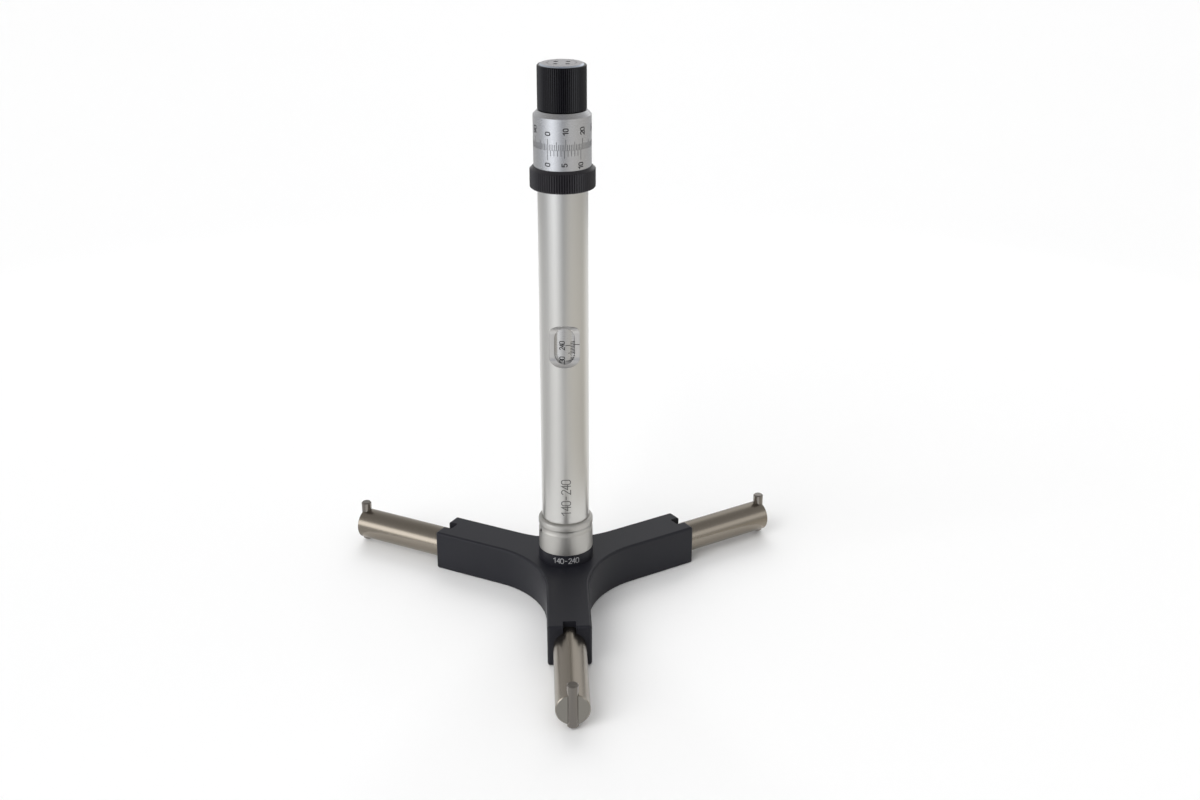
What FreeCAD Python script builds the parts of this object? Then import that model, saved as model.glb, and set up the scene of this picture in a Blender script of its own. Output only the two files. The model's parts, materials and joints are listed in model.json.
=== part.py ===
import FreeCAD, Part
import math
import os

from FreeCAD import Vector

# Three-arm inside micrometer standing on the flat underside of its head.
# Millimetres, Z up; the column stands on the Z axis and the underside lies at Z = 0.

# Measuring range
closed_radius = 70.0          # contact lines from the column axis, arms drawn in
arm_azimuths = {"front": -90.0, "right": 30.0, "left": 150.0}
arm_screw_pitch = 0.5
scale_screw_pitch = 0.75

# Fits between pieces, each the gap on one side
press_gap = 0.01
running_gap = 0.05
free_gap = 0.3
thrust_gap = 0.1
seal_cover = 0.2              # how far a sunk screw lies below its surface

# Head block
block_width = 20.0
block_height = 20.0
axis_height = 9.6             # rod axis above the underside
web_radius = 45.0             # concave sides between the arms
block_edge_radius = 1.2
block_setback = 1.2           # arm end inside the smallest measured radius
boss_height = 5.7
boss_margin = 0.2             # boss outside the collar's body
spigot_height = 12.3          # above the boss, inside the column

# Measuring rods and contact pins
rod_diameter = 15.0
rod_face_setback = 1.33       # rod face behind the contact line
rod_edge_chamfer = 0.4
rod_end_gap = 0.47            # rod root to bush flange, arms drawn in
rod_root_hold = 0.5           # least rod left over the key's axis, arms out
pin_diameter = 5.0
pin_length = 20.6
pin_foot_height = 1.0
pin_chamfer = 0.5
notch_side_gap = 0.5
notch_back_gap = 1.2
notch_corner_radius = 0.8
pin_hole_wall = 0.7           # between a rod's hollow and its pin hole

# Lead screws, nuts and bushes of the arms
screw_diameter = 5.0
screw_journal_diameter = 4.0
screw_stub_diameter = 3.0
rod_nut_wall = 2.5
rod_nut_length = 8.0
rod_hollow_gap = 0.4          # around the screw inside the rod
bush_length = 3.4
bush_flange_thickness = 0.8
bush_flange_gap = 0.2         # inside the rod's diameter

# Guide keys under the rods
key_screw_diameter = 3.0
key_dog_diameter = 2.0
keyway_depth = 1.7
key_station_gap = 2.4         # key axis inside the notch's back

# Bevel gears, four alike in size, one to one
gear_teeth = 18
gear_module = 0.5
gear_toe_share = 0.62         # toe distance from the apex over heel distance
gear_addendum = 0.8           # in modules
gear_dedendum = 1.05          # in modules
gear_tooth_share = 0.44       # tooth thickness over circular pitch
pressure_angle = 20.0
gear_back_thickness = 0.08
gear_hub_length = 1.0
gear_hub_diameter = 6.6
drive_hub_length = 2.0
chamber_gap = 0.8             # gear tips to chamber wall

# Drive shaft
shaft_diameter = 6.0
shaft_foot_diameter = 4.0
scale_thread_diameter = 8.0
shaft_stub_diameter = 4.0

# Column tube
tube_radius = 11.24
tube_bore_radius = 8.3
tube_seat = 3.0               # collar floor under the tube

# Collar over the tube's foot
collar_wall = 1.65
collar_cover = 3.7            # collar above the spigot's top
collar_top_width = 0.1
collar_top_relief = 0.15      # chamfer at the tube
collar_bead_swell = 0.12      # bead outside the collar's body
collar_neck_drop = 4.6        # neck below the collar's top
collar_neck_depth = 0.3
collar_neck_half_width = 1.5
collar_screw_azimuth = -158.9
collar_screw_drop = 6.3       # set screw axis below the collar's top
collar_screw_diameter = 2.0
socket_share = 0.5            # hexagon width over screw diameter
socket_depth = 1.4

# Reading window
window_flat_wall = 0.5        # tube left between the milled flat and the bore
window_flat_length = 11.1     # flat floor, between ends that curve up to the surface
window_flat_rise = 0.35       # flat's middle above the slot's middle
window_end_radius = 5.5       # curve of the flat's ends
window_slot_width = 9.4
window_slot_length = 17.1

# Coarse scale sleeve
scale_sleeve_gap = 0.08       # around the sleeve in the tube
scale_sleeve_wall = 1.22
scale_foot_gap = 7.6          # sleeve foot above the spigot, arms out
scale_top_gap = 1.0           # sleeve top under the upper bush, arms in
scale_top_cover = 0.7         # sleeve top above the window slot, arms out
scale_foot_cover = 1.6        # sleeve foot below the window slot, arms in
scale_nut_length = 6.0
scale_key_drop = 1.15         # key axis below the window's middle
scale_key_diameter = 3.0
scale_key_dog_diameter = 2.0

# Vernier sleeve and clamp ring
vernier_wall = 1.6
vernier_top_drop = 4.55       # vernier top below the tube's top
vernier_foot_gap = 0.3
clamp_ring_wall = 1.55        # around the vernier sleeve
clamp_ring_drop = 18.85       # ring foot below the vernier's top
clamp_ring_height = 9.7
clamp_ring_recess = 4.3
clamp_ring_recess_gap = 0.2
clamp_ring_top_bevel = 1.4
clamp_ring_foot_bevel = 0.5
clamp_ring_groove_count = 80
clamp_ring_groove_depth = 0.45

# Graduated drum
drum_gap = 0.1                # between vernier and drum
drum_wall = 1.3
drum_height = 15.25
drum_bevel = 1.9
drum_web_gap = 1.8            # drum's web above the upper bush
drum_nut_width = 9.0
drum_nut_height = 2.5

# Upper shaft bush
upper_bush_length = 10.0
upper_bush_flange_inset = 0.75
upper_bush_flange_thickness = 1.2

# Ratchet knob
knob_gap = 0.15               # between drum and knob
knob_radius = 10.8
knob_height = 19.2
knob_wall = 2.6
knob_foot_bevel = 0.45
knob_top_bevel = 0.35
knob_groove_count = 72
knob_groove_depth = 0.38
knob_rim_width = 1.1
knob_recess_depth = 1.7
groove_land_share = 0.24      # flat crest between two knurl grooves, over the pitch

# Slipping ratchet inside the knob
ratchet_teeth = 24
ratchet_tip_radius = 5.6
ratchet_tooth_depth = 0.7
ratchet_steep_share = 0.25     # steep flank's part of a tooth's pitch
ratchet_height = 3.7
ratchet_pocket_gap = 0.3
pawl_diameter = 2.0
pawl_tip_gap = 0.12
pawl_carrier_gap = 0.4        # around the wheel's tips
pawl_spring_width = 0.5
pawl_spring_opening_angle = 30.0    # missing part of the ring

# Discs in the knob's top
cap_stand = 0.6               # disc faces above the knob's rim
cap_edge_bevel = 0.6
cap_thickness = 2.0
cap_nut_radius = 6.25
cap_ring_gap = 0.2
cap_hole_diameter = 2.1
cap_hole_spacing = 5.3
cap_hole_depth = 1.2
cap_hole_turn_angle = -4.0
cap_cover = 0.5               # disc left over the shaft's end

# Places worked out from the sizes above
overshoot = 1.0
rod_radius = rod_diameter / 2
pin_radius = pin_diameter / 2
block_reach = closed_radius - block_setback
pin_station = closed_radius - pin_radius
notch_back = pin_station - pin_radius - notch_back_gap
notch_width = pin_diameter + 2 * notch_side_gap
key_station = notch_back - key_station_gap
screw_tip = pin_station - pin_radius - pin_hole_wall - free_gap
rod_hollow_radius = screw_diameter / 2 + rod_hollow_gap
rod_nut_radius = screw_diameter / 2 + rod_nut_wall
bush_flange_radius = rod_radius - bush_flange_gap

pitch_radius = gear_teeth * gear_module / 2
tip_offset = gear_addendum * gear_module / math.sqrt(2)
root_offset = gear_dedendum * gear_module / math.sqrt(2)
gear_back = pitch_radius + root_offset + gear_back_thickness
chamber_radius = pitch_radius + tip_offset + chamber_gap
bush_root = gear_back + gear_hub_length + thrust_gap
rod_bore_root = bush_root + bush_length
bush_face = rod_bore_root + bush_flange_thickness
rod_root_in = bush_face + rod_end_gap
rod_length = closed_radius - rod_face_setback - rod_root_in
drive_turns = math.floor((key_station - rod_root_in - rod_root_hold) / arm_screw_pitch)
arm_travel = drive_turns * arm_screw_pitch
scale_travel = drive_turns * scale_screw_pitch

boss_top = block_height + boss_height
spigot_top = boss_top + spigot_height
spigot_radius = tube_bore_radius - press_gap
drive_hub_top = axis_height + gear_back + drive_hub_length
lower_bush_foot = drive_hub_top + free_gap
tube_foot = boss_top + tube_seat
collar_top = spigot_top + collar_cover
collar_radius = tube_radius + collar_wall
boss_radius = collar_radius + boss_margin
shaft_thread_foot = spigot_top + free_gap

scale_sleeve_radius = tube_bore_radius - scale_sleeve_gap
scale_sleeve_bore_radius = scale_sleeve_radius - scale_sleeve_wall
scale_foot = spigot_top + scale_foot_gap
slot_foot = scale_foot + scale_travel + scale_foot_cover
slot_top = slot_foot + window_slot_length
scale_top = slot_top + scale_top_cover
window_height = (slot_foot + slot_top) / 2
window_flat_offset = tube_bore_radius + window_flat_wall
scale_key_height = window_height - scale_key_drop
shaft_thread_top = scale_foot + scale_nut_length + scale_travel + overshoot
upper_bush_foot = scale_top + scale_travel + scale_top_gap
tube_top = upper_bush_foot + upper_bush_length
upper_bush_top = tube_top + upper_bush_flange_thickness
upper_bush_flange_radius = tube_radius - upper_bush_flange_inset

vernier_radius = tube_radius + vernier_wall
vernier_top = tube_top - vernier_top_drop
clamp_ring_radius = vernier_radius + clamp_ring_wall + clamp_ring_recess_gap
clamp_ring_foot = vernier_top - clamp_ring_drop
clamp_ring_top = clamp_ring_foot + clamp_ring_height
clamp_ring_floor = clamp_ring_top - clamp_ring_recess
vernier_foot = clamp_ring_floor + vernier_foot_gap
drum_foot = vernier_top + drum_gap
drum_top = drum_foot + drum_height
drum_web_foot = upper_bush_top + drum_web_gap
drum_nut_top = drum_top + drum_nut_height
knob_foot = drum_top + knob_gap
knob_top = knob_foot + knob_height
knob_bore_radius = knob_radius - knob_wall
knob_recess_radius = knob_radius - knob_rim_width
knob_web_top = knob_top - knob_recess_depth
ratchet_root_radius = ratchet_tip_radius - ratchet_tooth_depth
ratchet_top = drum_nut_top + ratchet_height
pawl_carrier_bore_radius = ratchet_tip_radius + pawl_carrier_gap
knob_web_foot = ratchet_top + ratchet_pocket_gap
cap_face = knob_top + cap_stand
shaft_top = cap_face - cap_cover - thrust_gap
shaft_thread_radius = scale_thread_diameter / 2
shaft_radius = shaft_diameter / 2
shaft_foot_radius = shaft_foot_diameter / 2
shaft_stub_radius = shaft_stub_diameter / 2


def cylinder(radius, z0, z1):
    return Part.makeCylinder(radius, z1 - z0, Vector(0, 0, z0))


def tube_piece(outer, inner, z0, z1):
    return cylinder(outer, z0, z1).cut(cylinder(inner, z0 - overshoot, z1 + overshoot))


def turned(profile):
    """A solid of revolution about the Z axis from (radius, height) corners."""
    corners = [Vector(r, 0, z) for r, z in profile]
    face = Part.Face(Part.makePolygon(corners + corners[:1]))
    return face.revolve(Vector(0, 0, 0), Vector(0, 0, 1), 360)


def rod_along_x(radius, x0, x1, z=axis_height):
    return Part.makeCylinder(radius, x1 - x0, Vector(x0, 0, z), Vector(1, 0, 0))


def post(radius, x, z0, z1):
    return Part.makeCylinder(radius, z1 - z0, Vector(x, 0, z0))


def spun(shape, degrees, height=0.0):
    """A copy of the shape, turned about the Z axis and raised."""
    copy = shape.copy()
    copy.rotate(Vector(0, 0, 0), Vector(0, 0, 1), degrees)
    copy.translate(Vector(0, 0, height))
    return copy


def polar(radius, degrees, z=0.0):
    angle = math.radians(degrees)
    return Vector(radius * math.cos(angle), radius * math.sin(angle), z)


def on_arm(along, aside, azimuth):
    """A point of an arm's plan, given along the arm and to its left side."""
    return polar(along, azimuth) + polar(aside, azimuth + 90)


def solid_from_quads(quads):
    faces = [Part.Face(Part.makePolygon(list(quad) + [quad[0]])) for quad in quads]
    solid = Part.Solid(Part.Shell(faces))
    solid.fixTolerance(1e-6)
    return solid if solid.Volume > 0 else solid.reversed()


def stadium_prism(width, length, y0, y1, middle):
    """An upright slot shape in the XZ plane, from y0 to y1, round at both ends."""
    half = width / 2
    reach = length / 2 - half
    corners = [Vector(-half, y0, middle - reach), Vector(-half, y0, middle + reach)]
    corners += [Vector(half, y0, middle + reach), Vector(half, y0, middle - reach)]
    over = Vector(0, y0, middle + reach + half)
    under = Vector(0, y0, middle - reach - half)
    edges = [Part.makeLine(corners[0], corners[1])]
    edges.append(Part.Arc(corners[1], over, corners[2]).toShape())
    edges.append(Part.makeLine(corners[2], corners[3]))
    edges.append(Part.Arc(corners[3], under, corners[0]).toShape())
    return Part.Face(Part.Wire(edges)).extrude(Vector(0, y1 - y0, 0))


def knurled(radius, depth, grooves, z0, z1):
    """A straight-knurled bar: crests with a narrow land and V grooves between."""
    pitch = 360.0 / grooves
    land = pitch * groove_land_share / 2
    corners = []
    for k in range(grooves):
        corners.append(polar(radius, k * pitch - land, z0))
        corners.append(polar(radius, k * pitch + land, z0))
        corners.append(polar(radius - depth, (k + 0.5) * pitch, z0))
    face = Part.Face(Part.makePolygon(corners + corners[:1]))
    return face.extrude(Vector(0, 0, z1 - z0))


def hex_prism(width, z0, z1):
    corners = [polar(width / math.sqrt(3), 60 * k, z0) for k in range(6)]
    face = Part.Face(Part.makePolygon(corners + corners[:1]))
    return face.extrude(Vector(0, 0, z1 - z0))


def socket_screw(radius, dog_radius, seat, dog_root, tip):
    """A set screw along X from its outer end at seat, through dog_root, to its tip."""
    body = Part.makeCylinder(radius, seat - dog_root, Vector(dog_root, 0, 0), Vector(1, 0, 0))
    dog = Part.makeCylinder(dog_radius, dog_root - tip, Vector(tip, 0, 0), Vector(1, 0, 0))
    socket = hex_prism(2 * radius * socket_share, 0, socket_depth)
    socket.rotate(Vector(0, 0, 0), Vector(0, 1, 0), 90)
    socket.translate(Vector(seat - socket_depth, 0, 0))
    return body.fuse(dog).removeSplitter().cut(socket)


# Head block: three square arms at 120 degrees joined by concave webs
def block_outline():
    half = block_width / 2
    centre = (web_radius + half) / math.sin(math.radians(60))
    tangent = centre * math.cos(math.radians(60))
    edges = []
    azimuths = sorted(arm_azimuths.values())
    for k, azimuth in enumerate(azimuths):
        following = azimuths[(k + 1) % len(azimuths)]
        start = on_arm(block_reach, half, azimuth)
        leave = on_arm(tangent, half, azimuth)
        middle = polar(centre - web_radius, azimuth + 60)
        arrive = on_arm(tangent, -half, following)
        end = on_arm(block_reach, -half, following)
        across = on_arm(block_reach, half, following)
        edges.append(Part.makeLine(start, leave))
        edges.append(Part.Arc(leave, middle, arrive).toShape())
        edges.append(Part.makeLine(arrive, end))
        edges.append(Part.makeLine(end, across))
    return Part.Wire(edges)


def outer_edges(blank):
    """The edges of the top, the underside and the arm ends, without the smooth seams."""
    chosen = []
    for edge in blank.Edges:
        middle = edge.valueAt((edge.FirstParameter + edge.LastParameter) / 2)
        upright = free_gap < middle.z < block_height - free_gap
        at_arm_end = math.hypot(middle.x, middle.y) > block_reach
        if not upright or at_arm_end:
            chosen.append(edge)
    return chosen


def block_blank():
    blank = Part.Face(block_outline()).extrude(Vector(0, 0, block_height))
    return blank.makeFillet(block_edge_radius, outer_edges(blank))


def arm_cutter():
    """What is taken out of the arm along +X: rod bore, gear chamber, pin notch and key hole."""
    bore = rod_along_x(rod_radius + running_gap, rod_bore_root, block_reach + overshoot)
    chamber = rod_along_x(chamber_radius, 0, rod_bore_root + overshoot)
    slot = Part.makeBox(
        block_reach - notch_back + overshoot, notch_width, block_height + 2 * overshoot,
        Vector(notch_back, -notch_width / 2, -overshoot),
    )
    back = [e for e in slot.Edges if abs(e.CenterOfMass.x - notch_back) < press_gap
            and abs(e.CenterOfMass.y) > notch_width / 4 and abs(e.CenterOfMass.z - block_height / 2) < 1]
    slot = slot.makeFillet(notch_corner_radius, back)
    key_hole = post(key_screw_diameter / 2 + press_gap, key_station, -overshoot, axis_height)
    return bore.multiFuse([chamber, slot, key_hole])


def head_body():
    boss = cylinder(boss_radius, block_height - overshoot, boss_top)
    spigot = cylinder(spigot_radius, block_height - overshoot, spigot_top)
    body = block_blank().multiFuse([boss, spigot]).removeSplitter()
    cutters = [spun(arm_cutter(), azimuth) for azimuth in arm_azimuths.values()]
    cutters.append(cylinder(chamber_radius, axis_height, spigot_top + overshoot))
    cutters.append(collar_screw_hole())
    return body.cut(cutters)


# Column foot
def collar_screw_place(shape):
    copy = shape.copy()
    copy.translate(Vector(0, 0, collar_top - collar_screw_drop))
    return spun(copy, collar_screw_azimuth)


def collar_screw_dimple():
    """Radius from the column axis that the set screw's tip reaches, in the spigot's wall."""
    return spigot_radius - (spigot_radius - chamber_radius) / 2


def collar_screw_hole():
    radius = collar_screw_diameter / 2 + press_gap
    hole = Part.makeCylinder(
        radius, collar_radius + overshoot - collar_screw_dimple(),
        Vector(collar_screw_dimple(), 0, 0), Vector(1, 0, 0),
    )
    return collar_screw_place(hole)


def collar_screw():
    seat = math.sqrt(collar_radius ** 2 - collar_screw_diameter ** 2 / 4) - seal_cover
    tip = collar_screw_dimple() + press_gap
    radius = collar_screw_diameter / 2
    screw = socket_screw(radius, radius * 0.7, seat, tip + radius * 0.5, tip)
    return collar_screw_place(screw)


def tube_collar():
    """A sleeve with a rounded bead at its top and a soft neck under the bead."""
    bore = tube_radius + press_gap
    bead = collar_radius + collar_bead_swell
    neck = collar_top - collar_neck_drop
    half = collar_neck_half_width
    inner_rim = bore + collar_top_relief
    rim = inner_rim + collar_top_width
    rounding = bead - rim
    shoulder = collar_top - rounding
    slant = rounding * math.sqrt(0.5)
    corners = [
        Vector(tube_bore_radius, 0, boss_top),
        Vector(collar_radius, 0, boss_top),
        Vector(collar_radius, 0, neck - half),
        Vector(collar_radius - collar_neck_depth, 0, neck),
        Vector(bead, 0, neck + half),
        Vector(bead, 0, shoulder),
        Vector(rim + slant, 0, shoulder + slant),
        Vector(rim, 0, collar_top),
        Vector(inner_rim, 0, collar_top),
        Vector(bore, 0, collar_top - collar_top_relief),
        Vector(bore, 0, tube_foot),
        Vector(tube_bore_radius, 0, tube_foot),
    ]
    edges = [Part.makeLine(corners[0], corners[1]), Part.makeLine(corners[1], corners[2])]
    edges.append(Part.Arc(corners[2], corners[3], corners[4]).toShape())
    edges.append(Part.makeLine(corners[4], corners[5]))
    edges.append(Part.Arc(corners[5], corners[6], corners[7]).toShape())
    ring = corners[7:] + corners[:1]
    edges += [Part.makeLine(a, b) for a, b in zip(ring, ring[1:])]
    face = Part.Face(Part.Wire(edges))
    collar = face.revolve(Vector(0, 0, 0), Vector(0, 0, 1), 360)
    return collar.cut(collar_screw_hole())


# Column tube with its reading window
def window_flat_cutter():
    """A flat milled straight across the tube, whose ends curve up to the surface."""
    middle = window_height + window_flat_rise
    half = window_flat_length / 2
    climb = math.acos(1 - (tube_radius + overshoot - window_flat_offset) / window_end_radius)

    def corner(side, turn):
        out = window_flat_offset + window_end_radius * (1 - math.cos(turn))
        return Vector(
            -tube_radius, -out, middle + side * (half + window_end_radius * math.sin(turn))
        )

    edges = [Part.makeLine(corner(-1, 0), corner(1, 0))]
    edges.append(Part.Arc(corner(1, 0), corner(1, climb / 2), corner(1, climb)).toShape())
    edges.append(Part.makeLine(corner(1, climb), corner(-1, climb)))
    edges.append(Part.Arc(corner(-1, climb), corner(-1, climb / 2), corner(-1, 0)).toShape())
    face = Part.Face(Part.Wire(edges))
    return face.extrude(Vector(2 * tube_radius, 0, 0))


def column_tube():
    tube = tube_piece(tube_radius, tube_bore_radius, tube_foot, tube_top)
    slot = stadium_prism(
        window_slot_width, window_slot_length, -tube_radius - overshoot, 0, window_height
    )
    key_hole = Part.makeCylinder(
        scale_key_diameter / 2 + press_gap, tube_radius + overshoot,
        Vector(0, 0, scale_key_height), Vector(0, 1, 0),
    )
    return tube.cut([window_flat_cutter(), slot, key_hole, collar_screw_hole()])


def scale_key_screw():
    seat = math.sqrt(tube_radius ** 2 - scale_key_diameter ** 2 / 4) - seal_cover
    tip = (scale_sleeve_radius + scale_sleeve_bore_radius) / 2
    screw = socket_screw(
        scale_key_diameter / 2, scale_key_dog_diameter / 2, seat, tube_bore_radius, tip
    )
    return spun(screw, 90, scale_key_height)


# Coarse scale sleeve, raised by the threaded shaft
def scale_sleeve():
    sleeve = tube_piece(scale_sleeve_radius, scale_sleeve_bore_radius, scale_foot, scale_top)
    half = scale_key_dog_diameter / 2 + running_gap
    foot = scale_key_height - scale_travel - half - running_gap
    top = scale_key_height + half + running_gap
    slot = Part.makeBox(
        2 * half, scale_sleeve_radius + overshoot, top - foot, Vector(-half, 0, foot)
    )
    return sleeve.cut(slot)


def scale_nut():
    return tube_piece(
        scale_sleeve_bore_radius - press_gap, shaft_thread_radius + running_gap,
        scale_foot, scale_foot + scale_nut_length,
    )


# Bevel gears: apex at the origin, axis along +Z, back away from the apex
def gear_tooth(degrees):
    pitch_half = gear_tooth_share * math.pi * gear_module / 2
    slope = math.tan(math.radians(pressure_angle))
    tip_half = pitch_half - gear_addendum * gear_module * slope
    root_half = pitch_half + gear_dedendum * gear_module * slope
    root = (pitch_radius - root_offset - press_gap, pitch_radius + root_offset + press_gap)
    tip = (pitch_radius + tip_offset, pitch_radius - tip_offset)

    def corner(place, side, share):
        radial = polar(place[0], degrees)
        across = polar(side, degrees + 90)
        return Vector(radial.x + across.x, radial.y + across.y, place[1]) * share

    rings = []
    for share in (1.0, gear_toe_share):
        ring = [corner(root, -root_half, share), corner(root, root_half, share)]
        ring += [corner(tip, tip_half, share), corner(tip, -tip_half, share)]
        rings.append(ring)
    heel, toe = rings
    sides = [(heel[k], heel[k - 1], toe[k - 1], toe[k]) for k in range(4)]
    return solid_from_quads([heel, toe[::-1]] + sides)


def bevel_gear(bore_radius, hub_length):
    toe = gear_toe_share
    root_heel = (pitch_radius - root_offset, pitch_radius + root_offset)
    root_toe = (root_heel[0] * toe, root_heel[1] * toe)
    hub_radius = gear_hub_diameter / 2
    profile = [
        (bore_radius, root_toe[1]),
        root_toe,
        root_heel,
        (root_heel[0], gear_back),
        (hub_radius, gear_back),
        (hub_radius, gear_back + hub_length),
        (bore_radius, gear_back + hub_length),
    ]
    step = 360.0 / gear_teeth
    teeth = [gear_tooth(k * step) for k in range(gear_teeth)]
    return turned(profile).multiFuse(teeth).removeSplitter()


def drive_gear():
    gear = bevel_gear(shaft_foot_radius + press_gap, drive_hub_length)
    return spun(gear, 0, axis_height)


def bevel_pinion():
    pinion = bevel_gear(screw_stub_diameter / 2 + press_gap, gear_hub_length)
    pinion.rotate(Vector(0, 0, 0), Vector(0, 1, 0), 90)
    pinion.translate(Vector(0, 0, axis_height))
    return pinion


# Drive shaft and its bushes
def drive_shaft():
    foot = axis_height + gear_toe_share * (pitch_radius + root_offset)
    profile = [
        (0, foot),
        (shaft_foot_radius, foot),
        (shaft_foot_radius, drive_hub_top),
        (shaft_radius, drive_hub_top),
        (shaft_radius, shaft_thread_foot),
        (shaft_thread_radius, shaft_thread_foot),
        (shaft_thread_radius, shaft_thread_top),
        (shaft_radius, shaft_thread_top),
        (shaft_radius, drum_web_foot),
        (shaft_stub_radius, drum_web_foot),
        (shaft_stub_radius, shaft_top),
        (0, shaft_top),
    ]
    return turned(profile)


def shaft_bush_lower():
    return tube_piece(
        chamber_radius - press_gap, shaft_radius + running_gap, lower_bush_foot, spigot_top
    )


def shaft_bush_upper():
    bore = shaft_radius + running_gap
    body = tube_bore_radius - press_gap
    profile = [
        (bore, upper_bush_foot),
        (body, upper_bush_foot),
        (body, tube_top),
        (upper_bush_flange_radius, tube_top),
        (upper_bush_flange_radius, upper_bush_top),
        (bore, upper_bush_top),
    ]
    return turned(profile)


# Reading end of the column
def clamp_ring():
    bore = tube_radius + running_gap
    recess = vernier_radius + clamp_ring_recess_gap
    bevel = clamp_ring_top_bevel
    profile = [
        (bore, clamp_ring_foot),
        (clamp_ring_radius - clamp_ring_foot_bevel, clamp_ring_foot),
        (clamp_ring_radius, clamp_ring_foot + clamp_ring_foot_bevel),
        (clamp_ring_radius, clamp_ring_top - bevel),
        (clamp_ring_radius - bevel, clamp_ring_top),
        (recess, clamp_ring_top),
        (recess, clamp_ring_floor),
        (bore, clamp_ring_floor),
    ]
    bar = knurled(
        clamp_ring_radius, clamp_ring_groove_depth, clamp_ring_groove_count,
        clamp_ring_foot - overshoot, clamp_ring_top + overshoot,
    )
    return turned(profile).common(bar)


def vernier_sleeve():
    return tube_piece(vernier_radius, tube_radius + press_gap, vernier_foot, vernier_top)


def graduated_drum():
    profile = [
        (vernier_radius - drum_wall, drum_foot),
        (vernier_radius, drum_foot),
        (vernier_radius, drum_top - drum_bevel),
        (vernier_radius - drum_bevel, drum_top),
        (shaft_stub_radius + press_gap, drum_top),
        (shaft_stub_radius + press_gap, drum_web_foot),
        (vernier_radius - drum_wall, drum_web_foot),
    ]
    return turned(profile)


def drum_nut():
    nut = hex_prism(drum_nut_width, drum_top, drum_nut_top)
    bore = cylinder(shaft_stub_radius + press_gap, drum_top - overshoot, drum_nut_top + overshoot)
    return nut.cut(bore)


# Ratchet knob
def ratchet_knob():
    bore = shaft_stub_radius + running_gap
    profile = [
        (knob_bore_radius, knob_foot),
        (knob_radius - knob_foot_bevel, knob_foot),
        (knob_radius, knob_foot + knob_foot_bevel),
        (knob_radius, knob_top - knob_top_bevel),
        (knob_radius - knob_top_bevel, knob_top),
        (knob_recess_radius, knob_top),
        (knob_recess_radius, knob_web_top),
        (bore, knob_web_top),
        (bore, knob_web_foot),
        (knob_bore_radius, knob_web_foot),
    ]
    bar = knurled(
        knob_radius, knob_groove_depth, knob_groove_count,
        knob_foot - overshoot, knob_top + overshoot,
    )
    return turned(profile).common(bar)


def ratchet_wheel():
    """Saw teeth that the pawls ride over in one turning sense."""
    step = 360.0 / ratchet_teeth
    corners = []
    for k in range(ratchet_teeth):
        corners.append(polar(ratchet_tip_radius, k * step, drum_nut_top))
        corners.append(
            polar(ratchet_root_radius, (k + ratchet_steep_share) * step, drum_nut_top)
        )
    face = Part.Face(Part.makePolygon(corners + corners[:1]))
    wheel = face.extrude(Vector(0, 0, ratchet_height))
    bore = cylinder(shaft_stub_radius + press_gap, drum_nut_top - overshoot, ratchet_top + overshoot)
    return wheel.cut(bore)


def pawl_height():
    return (drum_nut_top + ratchet_top) / 2


def pawl_carrier():
    outer = knob_bore_radius - press_gap
    ring = tube_piece(outer, pawl_carrier_bore_radius, drum_nut_top + free_gap, knob_web_foot)
    groove = tube_piece(
        outer + overshoot, outer - pawl_spring_width - running_gap,
        pawl_height() - pawl_spring_width / 2 - running_gap,
        pawl_height() + pawl_spring_width / 2 + running_gap,
    )
    hole = Part.makeCylinder(
        pawl_diameter / 2 + running_gap, 2 * knob_bore_radius,
        Vector(-knob_bore_radius, 0, 0), Vector(1, 0, 0),
    )
    return ring.cut([groove, spun(hole, pawl_gap_azimuth(), pawl_height())])


def ratchet_pawl():
    """A plunger along +X whose point stands in the tooth gap at that azimuth."""
    step = math.radians(360.0 / ratchet_teeth)
    steep = ratchet_tip_radius * math.sin(step * ratchet_steep_share)
    shallow = ratchet_tip_radius * math.sin(step * (1 - ratchet_steep_share))
    point = ratchet_root_radius + pawl_tip_gap
    shoulder = ratchet_tip_radius + pawl_tip_gap
    back = knob_bore_radius - press_gap - pawl_spring_width - running_gap
    half = pawl_diameter / 2
    corners = [
        Vector(point, 0, -half),
        Vector(shoulder, pawl_tip_gap - steep, -half),
        Vector(shoulder, -half, -half),
        Vector(back, -half, -half),
        Vector(back, half, -half),
        Vector(shoulder, half, -half),
        Vector(shoulder, min(half, shallow - pawl_tip_gap), -half),
    ]
    face = Part.Face(Part.makePolygon(corners + corners[:1]))
    bar = Part.makeCylinder(half, back, Vector(0, 0, 0), Vector(1, 0, 0))
    blank = face.extrude(Vector(0, 0, 2 * half)).common(bar)
    return blank.common(cylinder(back, -half, half))


def pawl_gap_azimuth():
    return ratchet_steep_share * 360.0 / ratchet_teeth


def ratchet_pawl_right():
    return spun(ratchet_pawl(), pawl_gap_azimuth(), pawl_height())


def ratchet_pawl_left():
    return spun(ratchet_pawl(), pawl_gap_azimuth() + 180, pawl_height())


def pawl_spring():
    """An open ring of flat wire in the carrier's groove, behind both pawls."""
    outer = knob_bore_radius - press_gap - running_gap / 2
    foot = pawl_height() - pawl_spring_width / 2
    top = pawl_height() + pawl_spring_width / 2
    corners = [Vector(outer - pawl_spring_width, 0, foot), Vector(outer, 0, foot)]
    corners += [Vector(outer, 0, top), Vector(outer - pawl_spring_width, 0, top)]
    face = Part.Face(Part.makePolygon(corners + corners[:1]))
    turn = 360.0 - pawl_spring_opening_angle
    ring = face.revolve(Vector(0, 0, 0), Vector(0, 0, 1), turn)
    return spun(ring, 90 + pawl_spring_opening_angle / 2)


def knob_cap_ring():
    outer = knob_recess_radius - press_gap
    bore = cap_nut_radius + cap_ring_gap
    return turned([
        (bore, knob_web_top),
        (outer, knob_web_top),
        (outer, cap_face - cap_edge_bevel),
        (outer - cap_edge_bevel, cap_face),
        (bore, cap_face),
    ])


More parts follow.
